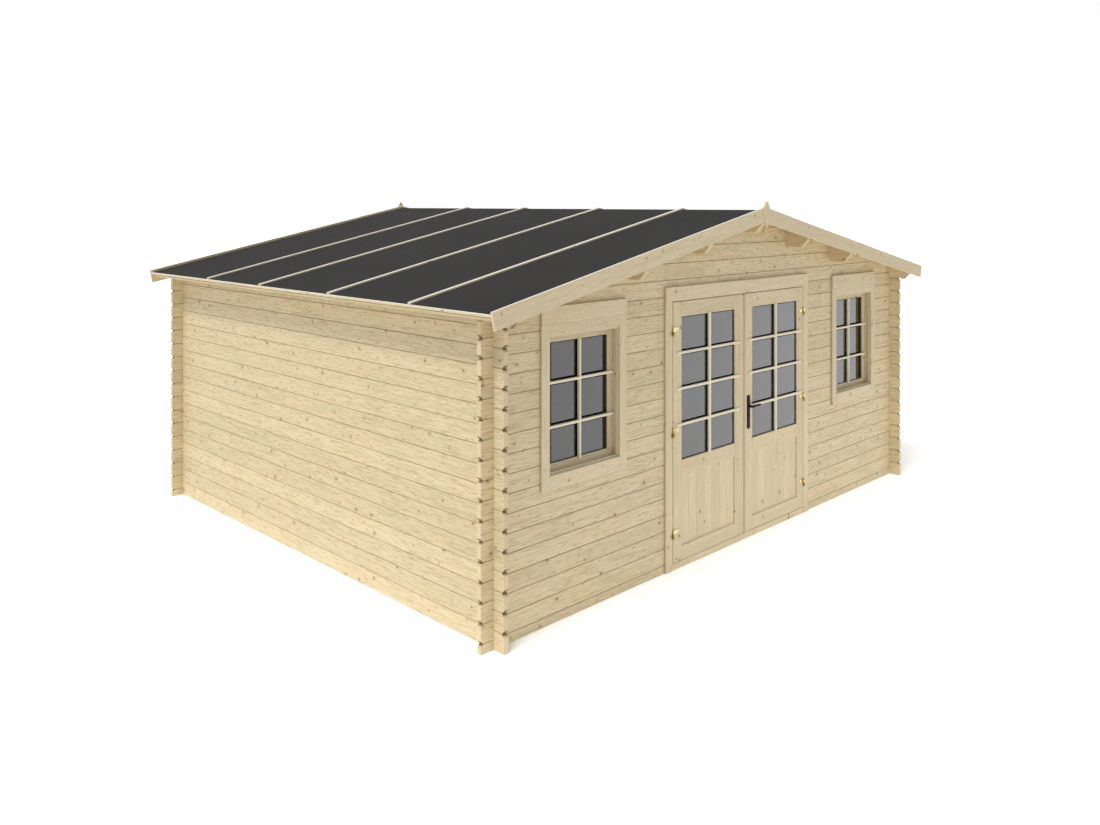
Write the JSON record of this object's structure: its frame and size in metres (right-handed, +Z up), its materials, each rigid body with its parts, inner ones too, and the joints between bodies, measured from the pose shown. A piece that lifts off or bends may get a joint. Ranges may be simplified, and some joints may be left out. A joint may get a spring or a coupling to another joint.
{
  "type": "log garden house",
  "caption": "Log garden house with lapped corners, a low felted gable roof, glazed door leaves on hinges with a sprung lever handle, barred fixed windows and a boarded floor.",
  "frame": {"origin": "middle of the plan at ground level, under the roof's ridge", "axes": "+X along the front wall to the right as seen from outside, +Y from the front wall to the back wall, +Z up"},
  "size_m": [5.361, 4.528, 2.5385],
  "materials": {
    "log_wood": "bare planed spruce",
    "roof_wood": "bare planed spruce",
    "roof_felt": "mineral roofing felt",
    "frame_wood": "bare planed spruce",
    "door_wood": "bare planed spruce",
    "glass": "clear",
    "brass": "polished",
    "black_metal": "matt black coating",
    "floor_wood": "bare planed spruce"
  },
  "bodies": {
    "house": {"left_wall": "log_wood", "right_wall": "log_wood", "front_wall_left": "log_wood", "front_wall_right": "log_wood", "front_gable": "log_wood", "back_wall": "log_wood", "left_purlins": "log_wood", "right_purlins": "log_wood", "ridge_purlin": "log_wood", "left_roof_boards": "roof_wood", "right_roof_boards": "roof_wood", "left_eave_laths": "roof_wood", "right_eave_laths": "roof_wood", "left_roof_battens": "roof_wood", "right_roof_battens": "roof_wood", "front_bargeboards": "roof_wood", "back_bargeboards": "roof_wood", "finials": "roof_wood", "left_roof_felt": "roof_felt", "right_roof_felt": "roof_felt", "door_frame": "frame_wood", "door_sill": "frame_wood", "door_casing": "frame_wood", "left_window_casing": "frame_wood", "left_window_frame": "frame_wood", "left_window_sash": "frame_wood", "right_window_casing": "frame_wood", "right_window_frame": "frame_wood", "right_window_sash": "frame_wood", "left_window_glass": "glass", "right_window_glass": "glass", "fixed_hinges": "brass", "floor_bearers": "floor_wood", "floor_boards": "floor_wood"},
    "left_door": {"left_leaf": "door_wood", "left_leaf_panel": "door_wood", "left_leaf_glass": "glass", "left_leaf_hinges": "brass"},
    "right_door": {"right_leaf": "door_wood", "right_leaf_panel": "door_wood", "right_leaf_glass": "glass", "right_leaf_hinges": "brass", "meeting_strip": "door_wood", "handle_plate": "black_metal"},
    "lever": {"handle_lever": "black_metal"}
  },
  "joints": [
    {"name": "left_door_hinge", "type": "hinge", "parent": "house", "child": "left_door", "pos_m": [-0.8615, -2.066, 0.9478], "axis": [0, 0, -1], "range_deg": [0, 105]},
    {"name": "right_door_hinge", "type": "hinge", "parent": "house", "child": "right_door", "pos_m": [0.8615, -2.066, 0.9478], "axis": [0, 0, 1], "range_deg": [0, 105]},
    {"name": "lever_turn", "type": "hinge", "parent": "right_door", "child": "lever", "pos_m": [0.06, -2.0655, 0.994], "axis": [0, 1, 0], "range_deg": [0, 40], "stiffness_Nm_per_rad": 1.5, "springref_deg": -28.65}
  ]
}
